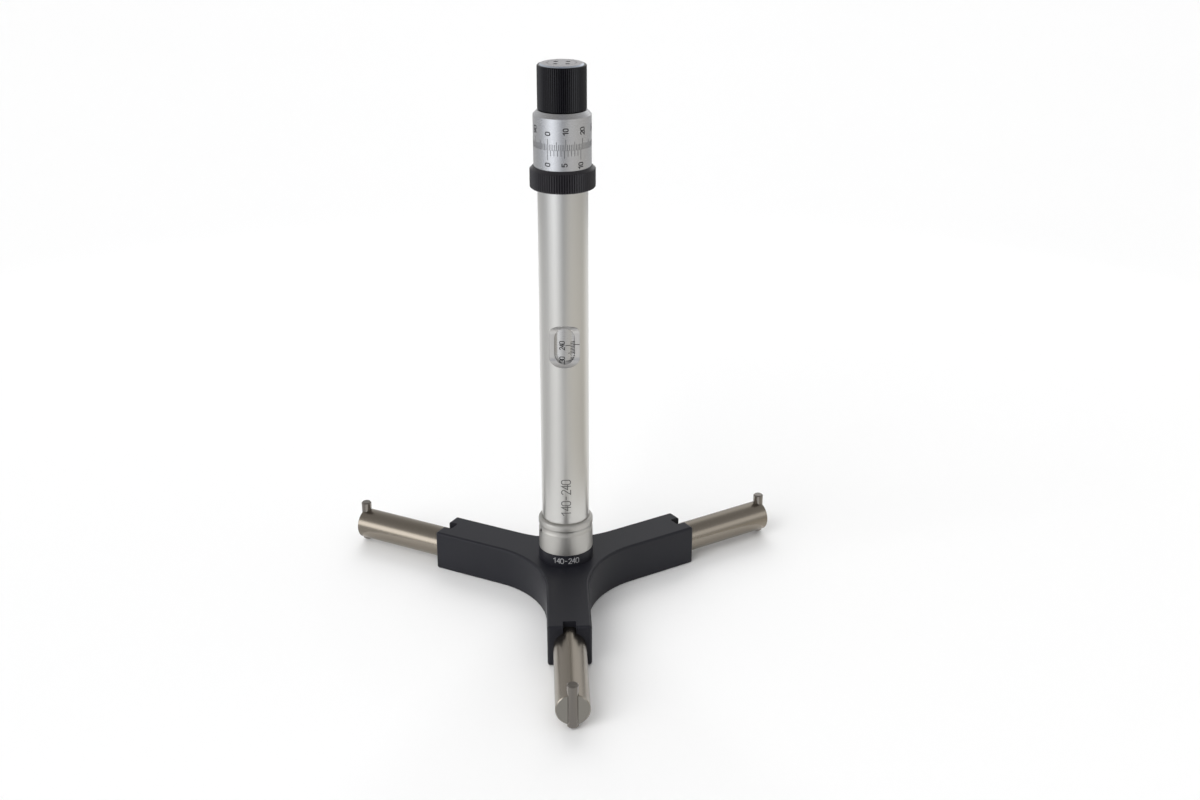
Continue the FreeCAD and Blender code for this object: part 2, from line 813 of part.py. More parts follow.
def spanner_nut():
    foot = cap_face - cap_thickness + thrust_gap
    nut = cylinder(cap_nut_radius, foot, cap_face)
    bore = cylinder(shaft_stub_radius + press_gap, foot - overshoot, shaft_top + thrust_gap)
    cutters = [bore]
    half = cap_hole_spacing / 2
    for x in (-half, half):
        for y in (-half, half):
            hole = Part.makeCylinder(
                cap_hole_diameter / 2, cap_hole_depth + overshoot,
                Vector(x, y, cap_face - cap_hole_depth),
            )
            cutters.append(spun(hole, cap_hole_turn_angle))
    return nut.cut(cutters)


# Pieces of one arm, modelled along +X with the arm fully out
def arm_rod():
    shift = arm_travel
    root = rod_root_in + shift
    face = root + rod_length
    rod = rod_along_x(rod_radius, root, face)
    rim = [e for e in rod.Edges if abs(e.CenterOfMass.x - face) < rod_edge_chamfer / 2
           and len(e.Vertexes) < 2]
    rod = rod.makeChamfer(rod_edge_chamfer, rim)
    nut_pocket = rod_along_x(
        rod_nut_radius + press_gap, root - overshoot, root + rod_nut_length
    )
    hollow = rod_along_x(rod_hollow_radius, root - overshoot, screw_tip + shift + free_gap)
    pin_hole = post(
        pin_radius + press_gap, pin_station + shift, -overshoot, block_height + overshoot
    )
    half = key_dog_diameter / 2 + running_gap
    keyway_end = key_station + shift + half + free_gap
    keyway = Part.makeBox(
        keyway_end - root + overshoot, 2 * half, keyway_depth + overshoot,
        Vector(root - overshoot, -half, axis_height - rod_radius - overshoot),
    )
    return rod.cut([nut_pocket, hollow, pin_hole, keyway])


def contact_pin():
    pin = post(pin_radius, pin_station + arm_travel, pin_foot_height, pin_foot_height + pin_length)
    ends = [e for e in pin.Edges if len(e.Vertexes) < 2]
    return pin.makeChamfer(pin_chamfer, ends)


def rod_nut():
    root = rod_root_in + arm_travel
    nut = rod_along_x(rod_nut_radius, root, root + rod_nut_length)
    bore = rod_along_x(
        screw_diameter / 2 + running_gap, root - overshoot, root + rod_nut_length + overshoot
    )
    return nut.cut(bore)


def lead_screw():
    stub_root = gear_toe_share * (pitch_radius + root_offset)
    stub = rod_along_x(screw_stub_diameter / 2, stub_root, bush_root)
    hub_face = gear_back + gear_hub_length
    journal = rod_along_x(screw_journal_diameter / 2, hub_face, bush_face + thrust_gap)
    thread = rod_along_x(screw_diameter / 2, bush_face + thrust_gap, screw_tip)
    return stub.multiFuse([journal, thread]).removeSplitter()


def screw_bush():
    body = rod_along_x(chamber_radius - press_gap, bush_root, bush_face)
    flange = rod_along_x(bush_flange_radius, rod_bore_root, bush_face)
    bore = rod_along_x(
        screw_journal_diameter / 2 + running_gap, bush_root - overshoot, bush_face + overshoot
    )
    return body.fuse(flange).removeSplitter().cut(bore)


def key_screw():
    wall = axis_height - rod_radius
    tip = axis_height - rod_radius + keyway_depth - free_gap
    screw = socket_screw(
        key_screw_diameter / 2, key_dog_diameter / 2, -seal_cover,
        -wall + running_gap, -tip,
    )
    screw.rotate(Vector(0, 0, 0), Vector(0, 1, 0), 90)
    screw.translate(Vector(key_station, 0, 0))
    return screw


def write(name, shape):
    shape.exportStep(os.path.join("parts", name + ".step"))


column_pieces = {
    "head_body": head_body,
    "shaft_bush_lower": shaft_bush_lower,
    "shaft_bush_upper": shaft_bush_upper,
    "tube_collar": tube_collar,
    "collar_screw": collar_screw,
    "column_tube": column_tube,
    "scale_key_screw": scale_key_screw,
    "scale_sleeve": scale_sleeve,
    "scale_nut": scale_nut,
    "drive_gear": drive_gear,
    "drive_shaft": drive_shaft,
    "clamp_ring": clamp_ring,
    "vernier_sleeve": vernier_sleeve,
    "graduated_drum": graduated_drum,
    "drum_nut": drum_nut,
    "ratchet_wheel": ratchet_wheel,
    "ratchet_knob": ratchet_knob,
    "pawl_carrier": pawl_carrier,
    "ratchet_pawl_right": ratchet_pawl_right,
    "ratchet_pawl_left": ratchet_pawl_left,
    "pawl_spring": pawl_spring,
    "knob_cap_ring": knob_cap_ring,
    "spanner_nut": spanner_nut,
}
arm_pieces = {
    "arm_rod": arm_rod,
    "contact_pin": contact_pin,
    "rod_nut": rod_nut,
    "lead_screw": lead_screw,
    "bevel_pinion": bevel_pinion,
    "screw_bush": screw_bush,
    "key_screw": key_screw,
}

os.makedirs("parts", exist_ok=True)
for name, make in column_pieces.items():
    write(name, make())
for name, make in arm_pieces.items():
    piece = make()
    for arm, azimuth in arm_azimuths.items():
        write(name + "_" + arm, spun(piece, azimuth))
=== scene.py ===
import json
import math

import bmesh
import bpy
from mathutils import Matrix, Vector


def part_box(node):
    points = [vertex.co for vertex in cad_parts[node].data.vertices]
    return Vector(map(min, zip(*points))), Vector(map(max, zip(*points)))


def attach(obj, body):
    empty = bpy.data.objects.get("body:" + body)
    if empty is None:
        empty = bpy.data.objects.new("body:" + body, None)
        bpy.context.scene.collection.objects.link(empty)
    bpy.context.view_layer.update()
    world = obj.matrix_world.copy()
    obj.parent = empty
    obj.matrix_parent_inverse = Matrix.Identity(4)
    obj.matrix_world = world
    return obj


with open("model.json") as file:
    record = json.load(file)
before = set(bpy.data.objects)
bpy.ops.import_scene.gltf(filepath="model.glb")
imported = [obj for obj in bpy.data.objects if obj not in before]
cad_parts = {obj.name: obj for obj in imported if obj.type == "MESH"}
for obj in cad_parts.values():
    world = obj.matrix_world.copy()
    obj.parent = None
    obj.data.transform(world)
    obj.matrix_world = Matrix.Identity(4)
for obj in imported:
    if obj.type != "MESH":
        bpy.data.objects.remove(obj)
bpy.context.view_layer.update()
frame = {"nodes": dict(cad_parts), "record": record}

MM = 0.001


# Materials
CLOUD_SHARE = 0.4        # share of the slow clouds in the noise, the rest is the tool marks
NOISE_ENDS = (0.3, 0.7)  # the noise's values lie mostly between these
SMOOTHEST = 0.02
MASK_EDGE = 0.00002      # half the width in which one colour gives way to another, metres


def link(tree, a, out, b, into):
    tree.links.new(a.outputs[out], b.inputs[into])


def ramp_node(tree, stops):
    node = tree.nodes.new("ShaderNodeValToRGB")
    elements = node.color_ramp.elements
    while len(elements) < len(stops):
        elements.new(0.5)
    for element, (place, colour) in zip(elements, stops):
        element.position = place
        element.color = (*colour, 1.0)
    return node


def grey(value):
    return (value, value, value)


def scaled(colour, factor):
    return tuple(min(1.0, c * factor) for c in colour)


def surface(name, colour, metallic, rough, spread=0.12, stretch=(900, 900, 900),
            rough_spread=0.08, bump=0.15, bump_depth=0.00001, cloud=40, specular=0.5):
    """A finish with tool marks (stretch, per metre), slow clouds, and uneven colour and gloss."""
    mat = bpy.data.materials.new(name)
    mat.use_nodes = True
    tree = mat.node_tree
    shader = tree.nodes["Principled BSDF"]
    shader.inputs["Metallic"].default_value = metallic
    shader.inputs["Specular IOR Level"].default_value = specular
    coord = tree.nodes.new("ShaderNodeTexCoord")
    mapping = tree.nodes.new("ShaderNodeMapping")
    mapping.inputs["Scale"].default_value = stretch
    link(tree, coord, "Object", mapping, "Vector")
    marks = tree.nodes.new("ShaderNodeTexNoise")
    marks.inputs["Scale"].default_value = 1.0
    marks.inputs["Detail"].default_value = 4.0
    marks.inputs["Roughness"].default_value = 0.6
    link(tree, mapping, "Vector", marks, "Vector")
    clouds = tree.nodes.new("ShaderNodeTexNoise")
    clouds.inputs["Scale"].default_value = cloud
    clouds.inputs["Detail"].default_value = 3.0
    link(tree, coord, "Object", clouds, "Vector")
    blend = tree.nodes.new("ShaderNodeMix")
    blend.data_type = "FLOAT"
    blend.inputs[0].default_value = CLOUD_SHARE
    link(tree, marks, "Fac", blend, 2)
    link(tree, clouds, "Fac", blend, 3)
    low, high = NOISE_ENDS
    tint = ramp_node(tree, [(low, scaled(colour, 1 - spread)), (high, scaled(colour, 1 + spread))])
    link(tree, blend, 0, tint, "Fac")
    link(tree, tint, "Color", shader, "Base Color")
    gloss = ramp_node(tree, [(low, grey(max(SMOOTHEST, rough - rough_spread))),
                             (high, grey(rough + rough_spread))])
    link(tree, blend, 0, gloss, "Fac")
    link(tree, gloss, "Color", shader, "Roughness")
    relief = tree.nodes.new("ShaderNodeBump")
    relief.inputs["Strength"].default_value = bump
    relief.inputs["Distance"].default_value = bump_depth
    link(tree, marks, "Fac", relief, "Height")
    link(tree, relief, "Normal", shader, "Normal")
    return mat


def recoloured_beyond(mat, radius, colour):
    """Gives the material another base colour beyond that distance from the column's axis."""
    tree = mat.node_tree
    shader = tree.nodes["Principled BSDF"]
    before = shader.inputs["Base Color"].links[0].from_socket
    coord = tree.nodes.new("ShaderNodeTexCoord")
    level = tree.nodes.new("ShaderNodeVectorMath")
    level.operation = "MULTIPLY"
    level.inputs[1].default_value = (1.0, 1.0, 0.0)
    link(tree, coord, "Object", level, 0)
    distance = tree.nodes.new("ShaderNodeVectorMath")
    distance.operation = "LENGTH"
    link(tree, level, "Vector", distance, 0)
    share = tree.nodes.new("ShaderNodeMapRange")
    share.inputs["From Min"].default_value = radius - MASK_EDGE
    share.inputs["From Max"].default_value = radius + MASK_EDGE
    link(tree, distance, "Value", share, "Value")
    blend = tree.nodes.new("ShaderNodeMix")
    blend.data_type = "RGBA"
    blend.inputs[7].default_value = (*colour, 1.0)
    link(tree, share, "Result", blend, 0)
    tree.links.new(before, blend.inputs[6])
    link(tree, blend, 2, shader, "Base Color")


# Tool marks per metre along X, Y and Z
GRAIN = (1500, 1500, 1500)
GROUND = (3000, 3000, 3000)
TURNED = (160, 160, 6000)
FINISHES = {
    "body_black": dict(
        colour=(0.0130, 0.0134, 0.0180), metallic=0.0, rough=0.42, spread=0.08, stretch=GRAIN,
        rough_spread=0.04, bump=0.2, bump_depth=0.00002, cloud=30, specular=0.27),
    "grip_black": dict(
        colour=(0.0034, 0.0030, 0.0050), metallic=0.0, rough=0.17, spread=0.10, stretch=GRAIN,
        rough_spread=0.02, bump=0.03, bump_depth=0.000003, cloud=90, specular=0.46),
    "rod_steel": dict(
        colour=(0.304, 0.271, 0.228), metallic=1.0, rough=0.26, spread=0.02, stretch=GROUND,
        rough_spread=0.015, bump=0.01, bump_depth=0.000002, cloud=20),
    "pin_steel": dict(
        colour=(0.265, 0.246, 0.225), metallic=1.0, rough=0.12, spread=0.02, stretch=GROUND,
        rough_spread=0.015, bump=0.01, bump_depth=0.000002, cloud=20),
    "tube_chrome": dict(
        colour=(0.82, 0.81, 0.80), metallic=1.0, rough=0.30, spread=0.012, stretch=TURNED,
        rough_spread=0.006, bump=0.01, bump_depth=0.000002, cloud=15),
    "collar_chrome": dict(
        colour=(0.56, 0.55, 0.525), metallic=1.0, rough=0.47, spread=0.015, stretch=TURNED,
        rough_spread=0.02, bump=0.03, bump_depth=0.000003, cloud=20),
    "sleeve_chrome": dict(
        colour=(0.60, 0.60, 0.60), metallic=1.0, rough=0.28, spread=0.02, stretch=TURNED,
        rough_spread=0.02, bump=0.03, bump_depth=0.000003, cloud=20),
    "drum_chrome": dict(
        colour=(0.63, 0.635, 0.65), metallic=1.0, rough=0.27, spread=0.010, stretch=TURNED,
        rough_spread=0.006, bump=0.01, bump_depth=0.000002, cloud=15),
    "cap_steel": dict(
        colour=(0.56, 0.55, 0.565), metallic=1.0, rough=0.28, spread=0.04, stretch=GRAIN,
        rough_spread=0.03, bump=0.05, bump_depth=0.000004, cloud=90),
    "shaft_steel": dict(
        colour=(0.48, 0.48, 0.48), metallic=1.0, rough=0.3, spread=0.06, stretch=TURNED),
    "gear_steel": dict(colour=(0.42, 0.42, 0.42), metallic=1.0, rough=0.35, spread=0.08),
    "screw_steel": dict(colour=(0.10, 0.10, 0.105), metallic=1.0, rough=0.4, spread=0.15),
    "spring_steel": dict(colour=(0.42, 0.42, 0.42), metallic=1.0, rough=0.3, spread=0.08),
    "brass": dict(
        colour=(0.62, 0.45, 0.20), metallic=1.0, rough=0.3, spread=0.08, stretch=TURNED),
}
MATERIALS = {slot: surface(slot, **finish) for slot, finish in FINISHES.items()}

# Second colours: the rods' end faces, the tube's outside against its milled window, the clamp
# ring against the knob, and the bare bevel round the knob's disc with a painted bluish highlight.
# Depths in mm.
end_face_depth = 0.05
tube_skin = 0.12
cap_bevel = 0.6
rod_reach = -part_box("arm_rod_front")[0].y
recoloured_beyond(MATERIALS["rod_steel"], rod_reach - end_face_depth * MM, (0.335, 0.320, 0.290))
recoloured_beyond(MATERIALS["tube_chrome"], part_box("column_tube")[1].x - tube_skin * MM,
                  (0.66, 0.655, 0.635))
recoloured_beyond(MATERIALS["grip_black"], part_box("vernier_sleeve")[1].x,
                  (0.0145, 0.0132, 0.0165))
# The knob's bevel is bare metal. Its bright bluish colour all round is a painted highlight.
recoloured_beyond(MATERIALS["cap_steel"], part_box("knob_cap_ring")[1].x - cap_bevel * MM,
                  (0.72, 0.78, 0.88))

INK = surface("engraved_black", (0.020, 0.020, 0.022), metallic=0.0, rough=0.6, spread=0.2,
              specular=0.2)
GREY_INK = surface("engraved_grey", (0.10, 0.10, 0.098), metallic=0.0, rough=0.6, spread=0.15)
WHITE_INK = surface("filled_white", (0.40, 0.40, 0.41), metallic=0.0, rough=0.6, spread=0.06)

slot_of = {row["node"]: row["material_slot"] for row in frame["record"]["subparts"]}
for node_name, node in frame["nodes"].items():
    node.data.materials.clear()
    node.data.materials.append(MATERIALS[slot_of[node_name]])


# Marks on the cylinders. Lengths are in mm, angles in degrees from the window side (-Y)
# towards +X.
LIFT = 0.015          # how far a mark stands over its surface
STROKE_LIFT = 0.002   # how far each stroke of a figure stands over the stroke before
BEND = 0.6            # longest straight piece of a stroke on a round surface
ARC_STEP = 2.0        # widest angle of one straight piece of a level line
SAME_POINT = 0.01     # a stroke whose ends are nearer than this is closed
MITRE_LIMIT = 0.35    # share, keeps a sharp corner of a stroke from running far out


def on_cylinder(radius, degrees, z):
    a = math.radians(degrees)
    return Vector((radius * math.sin(a), -radius * math.cos(a), z)) * MM


def finished(name, bm, material, body):
    """Makes the marks one piece that rides on that body."""
    mesh = bpy.data.meshes.new(name)
    bm.to_mesh(mesh)
    bm.free()
    mesh.materials.append(material)
    obj = bpy.data.objects.new(name, mesh)
    bpy.context.scene.collection.objects.link(obj)
    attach(obj, body)


def add_line(bm, radius, degrees, z0, z1, width):
    """An upright line on a cylinder."""
    half = math.degrees(width / 2 / radius)
    left, right = degrees - half, degrees + half
    places = ((left, z0), (right, z0), (right, z1), (left, z1))
    bm.faces.new([bm.verts.new(on_cylinder(radius + LIFT, a, z)) for a, z in places])


def add_arc(bm, radius, start, end, z, width):
    """A level line round a cylinder from one angle to another."""
    count = max(1, math.ceil((end - start) / ARC_STEP))
    rows = []
    for k in range(count + 1):
        a = start + (end - start) * k / count
        rows.append([bm.verts.new(on_cylinder(radius + LIFT, a, z + s * width / 2))
                     for s in (-1, 1)])
    for (a0, a1), (b0, b1) in zip(rows, rows[1:]):
        bm.faces.new((a0, b0, b1, a1))


# Figures drawn with single strokes in a box 1 high: each has its width and its strokes
def bow(x, y, across, up, start, end, steps=10):
    """Points on an oval arc about (x, y), from one angle in degrees to another."""
    turns = [math.radians(start + (end - start) * k / steps) for k in range(steps + 1)]
    return [(x + across * math.cos(t), y + up * math.sin(t)) for t in turns]


FULL = 0.5            # width of a figure
MID = FULL / 2
SIX = [bow(MID, 0.29, MID, 0.29, 0, 360, 16), bow(FULL, 0.33, FULL, 0.67, 100, 178)]
FIGURES = {
    "0": (FULL, [bow(MID, 0.77, MID, 0.23, 0, 180) + bow(MID, 0.23, MID, 0.23, 180, 360)
                 + [(FULL, 0.77)]]),
    "1": (FULL, [[(0.0, 0.76), (0.29, 1.0), (0.29, 0.0)]]),
    "2": (FULL, [bow(MID, 0.77, MID, 0.23, 165, -35) + [(0.0, 0.0), (FULL, 0.0)]]),
    "3": (FULL, [bow(MID, 0.76, 0.23, 0.24, 150, -90) + bow(MID, 0.26, MID, 0.26, 90, -150)[1:]]),
    "4": (FULL, [[(FULL, 0.33), (0.0, 0.33), (0.38, 1.0), (0.38, 0.0)]]),
    "5": (FULL, [[(0.46, 1.0), (0.06, 1.0), (0.03, 0.55)]
                 + bow(0.24, 0.31, 0.26, 0.31, 120, -145)]),
    "6": (FULL, SIX),
    "7": (FULL, [[(0.0, 1.0), (FULL, 1.0), (0.16, 0.0)]]),
    "8": (FULL, [bow(MID, 0.76, 0.21, 0.24, -90, 270, 16), bow(MID, 0.26, MID, 0.26, 90, 450, 16)]),
    "9": (FULL, [[(FULL - x, 1.0 - y) for x, y in stroke] for stroke in SIX]),
    "-": (0.64, [[(0.12, 0.5), (0.46, 0.5)]]),
}
FIGURE_GAP = 0.1


def add_stroke(bm, points, width, place):
    """A line of even width with round ends along flat points, laid on its surface by place."""
    half = width / 2
    closed = (points[0] - points[-1]).length < SAME_POINT
    dense = [points[0]]
    for a, b in zip(points, points[1:]):
        count = max(1, math.ceil((b - a).length / BEND))
        dense += [a.lerp(b, k / count) for k in range(1, count + 1)]
    ways = [(b - a).normalized() for a, b in zip(dense, dense[1:])]
    befores = [ways[-1] if closed else ways[0]] + ways
    afters = ways + [ways[0] if closed else ways[-1]]
    rows = []
    for point, before, after in zip(dense, befores, afters):
        along = (before + after).normalized()
        reach = Vector((-along.y, along.x)) * (half / max(MITRE_LIMIT, along.dot(after)))
        rows.append([bm.verts.new(place(point + reach)), bm.verts.new(place(point - reach))])
    for (a0, a1), (b0, b1) in zip(rows, rows[1:]):
        bm.faces.new((a1, b1, b0, a0))
    if closed:
        return
    for point, way, (first, last) in ((dense[0], -ways[0], rows[0]),
                                      (dense[-1], ways[-1], rows[-1][::-1])):
        side = Vector((way.y, -way.x)) * half
        round_end = []
        for t in (45, 90, 135):
            turn = math.radians(t)
            round_end.append(point + side * math.cos(turn) + way * half * math.sin(turn))
        bm.faces.new([first] + [bm.verts.new(place(p)) for p in round_end] + [last])


def add_words(bm, words, radius, degrees, z, length, height, width, turned):
    """Figures centred on that angle and height of a cylinder, in that overall length and height.

    Turned ones are read from below upwards, and their height runs round the cylinder."""
    raw = sum(FIGURES[c][0] for c in words) + FIGURE_GAP * (len(words) - 1)
    across = (length - width) / raw
    up = height - width
    start = -(length - width) / 2
    lift = radius + LIFT
    for letter in words:
        figure_width, strokes = FIGURES[letter]
        for stroke in strokes:
            lift += STROKE_LIFT

            def place(p, lift=lift):
                if turned:
                    return on_cylinder(lift, degrees - math.degrees(p.y / radius), z + p.x)
                return on_cylinder(lift, degrees + math.degrees(p.x / radius), z + p.y)

            points = [Vector((start + x * across, (y - 0.5) * up)) for x, y in stroke]
            add_stroke(bm, points, width, place)
        start += (figure_width + FIGURE_GAP) * across


# Drum: 100 divisions, numbered every ten
drum_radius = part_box("graduated_drum")[1].x / MM
drum_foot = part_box("graduated_drum")[0].z / MM
drum_zero = -30.6
drum_step = 3.6       # degrees to the division
ten_top, five_top, one_top = 226.3, 225.2, 224.0      # heights where the lines end
digit_foot = 227.65   # height where single digits start
pair_top = 231.15     # height where pairs of digits end
edge_gap = 0.05       # between the lines' ends and the edges where drum and vernier meet
tick_width = 0.2
digit_height = 2.6
digit_stroke = 0.45
lines = bmesh.new()
numbers = bmesh.new()
for k in range(100):
    top = ten_top if k % 10 == 0 else five_top if k % 5 == 0 else one_top
    add_line(lines, drum_radius, drum_zero + drum_step * k, drum_foot + edge_gap, top, tick_width)
for k in range(0, 100, 10):
    words = str(k)
    if len(words) == 1:
        length = 1.8
        middle = digit_foot + length / 2
    else:
        length = 3.1 if words == "10" else 3.45
        middle = pair_top - length / 2
    add_words(numbers, words, drum_radius, drum_zero + drum_step * k, middle,
              length=length, height=digit_height, width=digit_stroke, turned=True)
finished("drum_divisions", lines, INK, "drive")
finished("drum_numbers", numbers, INK, "drive")

# Vernier: ten divisions, 19 drum divisions long
vernier_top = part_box("vernier_sleeve")[1].z / MM
vernier_zero = -31.4
vernier_step = 6.84
end_foot, middle_foot, one_foot = 217.0, 217.95, 218.95
words_top = 215.95    # height where the figures end
lines = bmesh.new()
numbers = bmesh.new()
for k in range(11):
    foot = end_foot if k % 10 == 0 else middle_foot if k == 5 else one_foot
    add_line(lines, drum_radius, vernier_zero + vernier_step * k, foot, vernier_top - edge_gap,
             tick_width)
for k in (0, 5, 10):
    words = str(k)
    length = 1.75 if len(words) == 1 else 3.0
    add_words(numbers, words, drum_radius, vernier_zero + vernier_step * k,
              words_top - length / 2,
              length=length, height=digit_height + 0.1, width=digit_stroke, turned=True)
finished("vernier_lines", lines, INK, "column")
finished("vernier_numbers", numbers, INK, "column")

# Coarse scale: a line to every unit, its right end behind the window's edge
sleeve_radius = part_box("scale_sleeve")[1].x / MM
scale_pitch = 0.75
reading_at_rest = 240
reading_height = 130.8
ten_start, five_start, one_start, tick_end = 3.0, 11.5, 19.0, 46.0     # degrees
mark_width = 0.3
lines = bmesh.new()
numbers = bmesh.new()
for n in range(140, 243):
    start = ten_start if n % 10 == 0 else five_start if n % 5 == 0 else one_start
    z = reading_height - (reading_at_rest - n) * scale_pitch
    add_arc(lines, sleeve_radius, start, tick_end, z, mark_width)
    if n % 10 == 0:
        add_words(numbers, str(n), sleeve_radius, -8.0, z,
                  length=4.35, height=2.65, width=0.38, turned=True)
finished("scale_lines", lines, INK, "scale")
finished("scale_numbers", numbers, INK, "scale")

# Index line on the window's flat
flat_depth = 8.8      # from the column's axis
index_height = 131.5
left, right = 4.74, 6.8
corners = [(x, index_height + side * mark_width / 2)
           for x, side in ((left, -1), (right, -1), (right, 1), (left, 1))]
index = bmesh.new()
index.faces.new([index.verts.new(Vector((x, -flat_depth - LIFT, z)) * MM) for x, z in corners])
finished("window_index", index, INK, "column")

# Measuring range on the tube and on the boss
measuring_range = "140-240"
tube_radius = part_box("column_tube")[1].x / MM
boss_radius = tube_radius + 1.85
tube_words = bmesh.new()
add_words(tube_words, measuring_range, tube_radius, 0.3, 55.55,
          length=18.8, height=4.72, width=0.42, turned=True)
finished("tube_range", tube_words, GREY_INK, "column")
boss_words = bmesh.new()
add_words(boss_words, measuring_range, boss_radius, -1.0, 23.0,
          length=12.8, height=2.9, width=0.33, turned=False)
finished("boss_range", boss_words, WHITE_INK, "column")


# Floor
reach = 8.0           # metres from its middle to each side
floor_mesh = bpy.data.meshes.new("floor")
floor_mesh.from_pydata([(-reach, -reach, 0), (reach, -reach, 0), (reach, reach, 0),
                        (-reach, reach, 0)], [], [(0, 1, 2, 3)])
floor_mesh.materials.append(surface(
    "floor_white", (0.95, 0.95, 0.95), metallic=0.0, rough=0.9, spread=0.004,
    stretch=(3, 3, 3), rough_spread=0.02, bump=0.0, cloud=2))
floor = bpy.data.objects.new("floor", floor_mesh)
bpy.context.scene.collection.objects.link(floor)


# Light: an even soft room with broad lamps from the left front and from behind. Behind the
# object it is white. Shiny surfaces see a studio: a dim ceiling, pale walls, three soft boxes
# and a dark side in front, and rings of pale cards on the floor.
PEAK = 3.0            # brightness that a studio colour of 1 stands for
CARD_HEIGHT = 0.0004  # metres over the floor
WARM_RED = 0.04       # share that a warmth of 1 adds to a card's red
WARM_BLUE = 0.08      # share that it takes from a card's blue


def toward(azimuth, elevation):
    """A direction, both angles in degrees, azimuth from +X towards +Y."""
    a, e = math.radians(azimuth), math.radians(elevation)
    return (math.cos(e) * math.cos(a), math.cos(e) * math.sin(a), math.sin(e))


def studio_colour(tree, walls, boxes):
    """Colour by direction: walls by (elevation, colour), then round patches over them.

    A patch is (azimuth, elevation, inner radius, outer radius, colour), angles in degrees."""
    coord = tree.nodes.new("ShaderNodeTexCoord")
    split = tree.nodes.new("ShaderNodeSeparateXYZ")
    link(tree, coord, "Generated", split, "Vector")
    share = tree.nodes.new("ShaderNodeMapRange")
    share.inputs["From Min"].default_value = -1.0
    share.inputs["From Max"].default_value = 1.0
    link(tree, split, "Z", share, "Value")
    stops = [((math.sin(math.radians(e)) + 1) / 2, scaled(c, 1 / PEAK)) for e, c in walls]
    wall = ramp_node(tree, stops)
    link(tree, share, "Result", wall, "Fac")
    colour = wall.outputs["Color"]
    for azimuth, elevation, inner, outer, patch in boxes:
        facing = tree.nodes.new("ShaderNodeVectorMath")
        facing.operation = "DOT_PRODUCT"
        facing.inputs[1].default_value = toward(azimuth, elevation)
        link(tree, coord, "Generated", facing, 0)
        inside = tree.nodes.new("ShaderNodeMapRange")
        inside.interpolation_type = "SMOOTHSTEP"
        inside.inputs["From Min"].default_value = math.cos(math.radians(outer))
        inside.inputs["From Max"].default_value = math.cos(math.radians(inner))
        link(tree, facing, "Value", inside, "Value")
        blend = tree.nodes.new("ShaderNodeMix")
        blend.data_type = "RGBA"
        blend.inputs[7].default_value = (*scaled(patch, 1 / PEAK), 1.0)
        link(tree, inside, "Result", blend, 0)
        tree.links.new(colour, blend.inputs[6])
        colour = blend.outputs[2]
    return colour


def room(soft, walls, boxes):
    """Even light of that strength on dull surfaces, the studio for shiny ones, white behind."""
    world = bpy.data.worlds.new("room")
    bpy.context.scene.world = world
    world.use_nodes = True
    tree = world.node_tree
    even = tree.nodes["Background"]
    even.inputs["Color"].default_value = (*grey(soft), 1.0)
    studio = tree.nodes.new("ShaderNodeBackground")
    studio.inputs["Strength"].default_value = PEAK
    tree.links.new(studio_colour(tree, walls, boxes), studio.inputs["Color"])
    white = tree.nodes.new("ShaderNodeBackground")
    white.inputs["Color"].default_value = (1.0, 1.0, 1.0, 1.0)
    rays = tree.nodes.new("ShaderNodeLightPath")
    output = tree.nodes["World Output"]
    before = even
    for ray, shade in (("Is Glossy Ray", studio), ("Is Camera Ray", white)):
        mix = tree.nodes.new("ShaderNodeMixShader")
        link(tree, rays, ray, mix, 0)
        link(tree, before, 0, mix, 1)
        link(tree, shade, 0, mix, 2)
        before = mix
    link(tree, before, 0, output, "Surface")


def card_ring(name, inner, outer, levels):
    """Flat cards round the object between two radii, in metres, seen in shiny surfaces only.

    Their levels are (angle from -Y towards +X in degrees, brightness, warmth)."""
    mesh = bpy.data.meshes.new(name)
    bm = bmesh.new()
    steps = 96
    rows = []
    for k in range(steps + 1):
        a = math.radians(-180 + 360 * k / steps)
        rows.append([bm.verts.new((r * math.sin(a), -r * math.cos(a), CARD_HEIGHT))
                     for r in (inner, outer)])
    for (a0, a1), (b0, b1) in zip(rows, rows[1:]):
        bm.faces.new((a0, a1, b1, b0))
    bm.to_mesh(mesh)
    bm.free()
    mat = bpy.data.materials.new(name)
    mat.use_nodes = True
    tree = mat.node_tree
    tree.nodes.remove(tree.nodes["Principled BSDF"])
    coord = tree.nodes.new("ShaderNodeTexCoord")
    split = tree.nodes.new("ShaderNodeSeparateXYZ")
    link(tree, coord, "Object", split, "Vector")
    back = tree.nodes.new("ShaderNodeMath")
    back.operation = "MULTIPLY"
    back.inputs[1].default_value = -1.0
    link(tree, split, "Y", back, 0)
    turn = tree.nodes.new("ShaderNodeMath")
    turn.operation = "ARCTAN2"
    link(tree, split, "X", turn, 0)
    link(tree, back, "Value", turn, 1)
    share = tree.nodes.new("ShaderNodeMapRange")
    share.inputs["From Min"].default_value = -math.pi
    share.inputs["From Max"].default_value = math.pi
    link(tree, turn, "Value", share, "Value")
    bands = ramp_node(tree, [
        ((angle + 180) / 360,
         scaled((1 + WARM_RED * warmth, 1.0, 1 - WARM_BLUE * warmth), brightness / PEAK))
        for angle, brightness, warmth in levels])
    link(tree, share, "Result", bands, "Fac")
    glow = tree.nodes.new("ShaderNodeEmission")
    glow.inputs["Strength"].default_value = PEAK
    link(tree, bands, "Color", glow, "Color")
    link(tree, glow, "Emission", tree.nodes["Material Output"], "Surface")
    mesh.materials.append(mat)
    ring = bpy.data.objects.new(name, mesh)
    bpy.context.scene.collection.objects.link(ring)
    ring.visible_camera = False
    ring.visible_diffuse = False
    ring.visible_shadow = False


def lamp(name, direction, strength, spread):
    """A broad soft light from that direction. Shiny surfaces don't mirror it."""
    light = bpy.data.lights.new(name, "SUN")
    light.energy = strength
    light.angle = math.radians(spread)
    obj = bpy.data.objects.new(name, light)
    obj.rotation_euler = Vector(direction).to_track_quat("Z", "Y").to_euler()
    obj.visible_glossy = False
    bpy.context.scene.collection.objects.link(obj)


